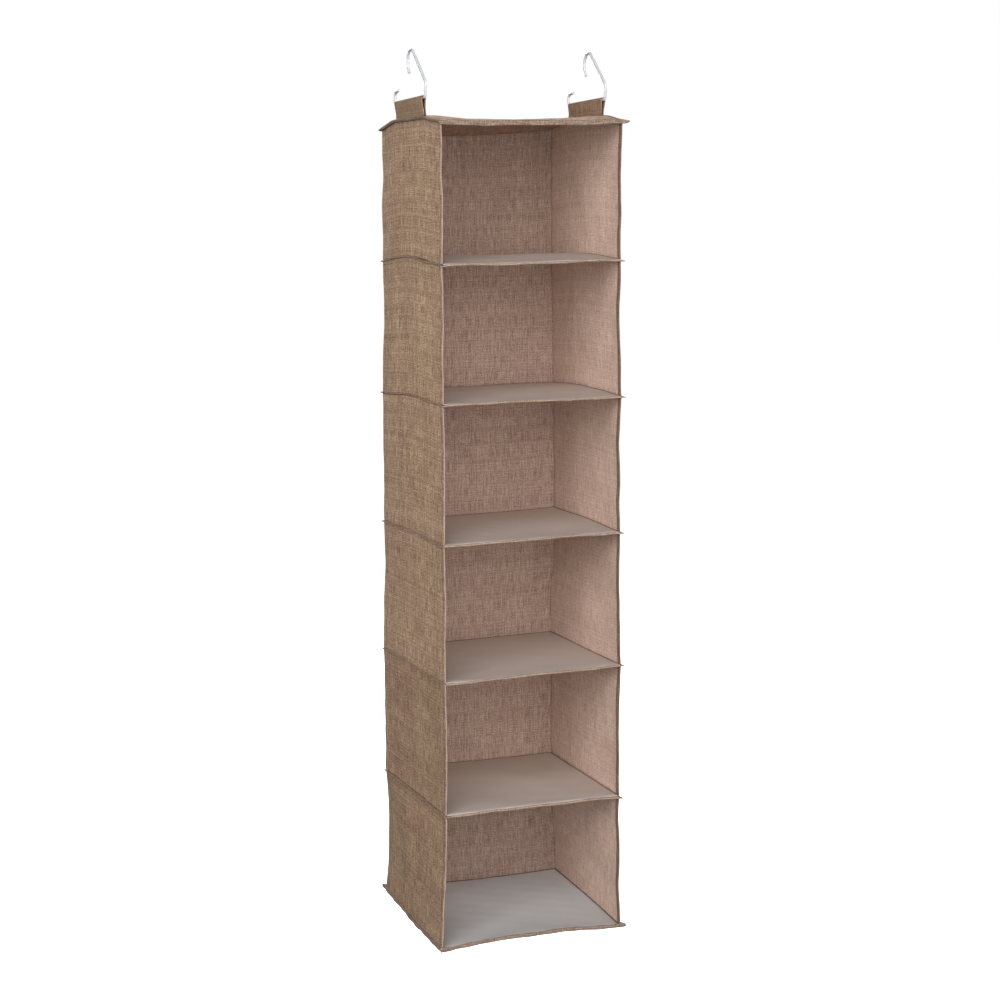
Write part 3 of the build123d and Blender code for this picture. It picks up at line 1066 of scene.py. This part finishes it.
def loop_cloth(side):
    """One strip of cloth folded over the hook's bar and sewn to the top; returns its outer face."""
    sign = SIDES[side]
    node_low, node_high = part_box(f"{side}_loop")
    centre_x = (node_low.x + node_high.x) / 2
    bar_z = node_high.z - (node_high.x - node_low.x) / 2 - BAR_RISE
    foot_z = node_low.z
    ends = np.linspace(node_low.y, node_high.y, 57)
    outer_x, outer_z = loop_outline(TUNNEL_RADIUS + LOOP_CLOTH, FOOT_HALF, bar_z, foot_z)
    inner_x, inner_z = loop_outline(TUNNEL_RADIUS, FOOT_GAP, bar_z, foot_z + 0.0008)
    from_end = np.minimum(ends - node_low.y, node_high.y - ends)
    hem = 1 + HEM_GROWTH * np.exp(-(((from_end - HEM_IN) / HEM_WIDE) ** 2))
    sway = LOOP_SWAY * ripple(500 + sign, ends, 0, 0.11)
    level_share = np.clip((outer_z - foot_z) / (bar_z - foot_z), 0, 1)
    belly = np.sin(np.pi * level_share)
    x_in = centre_x + inner_x[None] + sway[:, None] * belly[None]
    x_out = x_in + (outer_x - inner_x)[None] * hem[:, None]
    foot_y = 1 + FOOT_LONGER * (1 - level_share)
    y = MIDDLE_Y + (ends[:, None] - MIDDLE_Y) * foot_y[None]
    bar_slope = -math.tan(math.radians(BAR_TILT)) * (ends - MIDDLE_Y)
    surface = middle_z(TOP, sign * HALF_W * 0.98, ends) + HALF_LEVEL - 0.0004
    settle = (surface - foot_z)[:, None] * (1 - level_share[None]) + bar_slope[:, None] * level_share
    outer = stack(x_out, y, outer_z[None] + settle)
    inner = stack(x_in, y, inner_z[None] + settle)
    lengths = path_lengths(np.stack([outer_x, outer_z], -1))
    uv = stack(ends[:, None], lengths[None])
    colours = [LOOPS[side], EDGING]
    piece = slab(f"{side}_loop_cloth", outer, inner, uv, colours, shift=0.9 + 0.3 * sign)
    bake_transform(piece)
    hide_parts(f"{side}_loop")
    return outer


def loop_stitches(side, outer):
    """Stitches down both hems of a loop and along its foot, on both faces."""
    rows, columns = outer.shape[:2]
    half = columns // 2
    runs = []
    for row in (3, rows - 4):
        for leg, face in ((outer[row, :half], -1.0), (outer[row, half:][::-1], 1.0)):
            lengths = path_lengths(leg)
            where = np.arange(0.0058, lengths[-1] - 0.005, STITCH_PITCH)
            runs.append((along_path(where, lengths, leg), (0.0, 0.05, 1.0), face))
    for column, face in ((4, -1.0), (columns - 5, 1.0)):
        line = outer[4:-4, column]
        where = np.arange(line[0, 1], line[-1, 1], STITCH_PITCH)
        runs.append((along_path(where, line[:, 1], line), (0.0, 1.0, 0.05), face))
    centres = np.concatenate([at + (face * THREAD * 0.3, 0, 0) for at, way, face in runs])
    ahead = np.concatenate([np.repeat([way], len(at), 0) for at, way, face in runs])
    outward = np.concatenate([np.repeat([(face, 0, 0)], len(at), 0) for at, way, face in runs])
    name = f"{side}_loop_stitches"
    piece = capsules(name, centres, ahead, outward, LOOP_STITCH, THREAD, [SEAM_THREADS])
    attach(piece, f"{side}_loop")


def dress_hook(side):
    """The bent wire keeps its CAD shape and gets its white coat."""
    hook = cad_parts[f"{side}_hook"]
    hook.data.materials.clear()
    hook.data.materials.append(WIRE)


# ---- stage and light


def area_light(name, at, size, power, look_z=-0.7):
    """A white area light that looks at a height on the object's middle line."""
    data = bpy.data.lights.new(name, "AREA")
    data.shape = "RECTANGLE"
    data.size, data.size_y = size
    data.energy = power
    light = add_object(name, data)
    direction = Vector((0, 0, look_z)) - Vector(at)
    turn = direction.to_track_quat("-Z", "Y").to_matrix().to_4x4()
    light.matrix_world = Matrix.Translation(at) @ turn


def build_stage():
    """A white floor well below the object, which casts no colour on it."""
    mesh = bpy.data.meshes.new("stage_floor")
    reach, below = 14.0, cad_box[0][2] - 0.32
    corners = [(-reach, -reach), (reach, -reach), (reach, reach), (-reach, reach)]
    mesh.from_pydata([(x, y, below) for x, y in corners], [], [(0, 1, 2, 3)])
    floor = add_object("stage_floor", mesh)
    material, tree, shader = new_material("stage_white")
    feed(tree, shader, {"Base Color": rgb(0.9, 0.9, 0.9), "Roughness": 1.0})
    feed(tree, shader, {"Emission Color": rgb(1, 1, 1), "Emission Strength": 1.0})
    mesh.materials.append(material)
    floor.visible_diffuse = False
    floor.visible_glossy = False
    floor.visible_shadow = False


WORLD_GLOW = 0.04


def build_world():
    """White where the camera sees it, and a faint glow for the object."""
    world = bpy.data.worlds.new("studio")
    bpy.context.scene.world = world
    world.use_nodes = True
    tree = world.node_tree
    back = tree.nodes["Background"]
    is_seen = node(tree, "ShaderNodeLightPath")
    strength = node(tree, "ShaderNodeMix", {"Factor": is_seen, 2: WORLD_GLOW, 3: 1.0})
    feed(tree, back, {"Color": rgb(1, 1, 1), "Strength": strength})


# ---- the whole

for number in range(len(LEVELS)):
    build_level(number)
for cell in CELLS:
    build_cell(cell)
for side in SIDES:
    loop_stitches(side, loop_cloth(side))
    dress_hook(side)

build_stage()
build_world()
area_light("key", (-2.6, -3.4, 1.0), (4.2, 4.2), 272)
area_light("left", (-3.8, -2.4, 0.2), (2.4, 2.4), 6)
area_light("right", (1.6, -3.6, 0.2), (3.8, 3.8), 108, look_z=-0.75)
area_light("low", (-0.8, -3.4, -1.9), (2.6, 1.6), 16)
area_light("rear", (0.6, 3.8, 0.8), (2.0, 2.0), 110)
area_light("rear_right", (3.6, 1.4, 0.9), (2.0, 2.0), 100)
bpy.context.scene.view_settings.view_transform = "Standard"
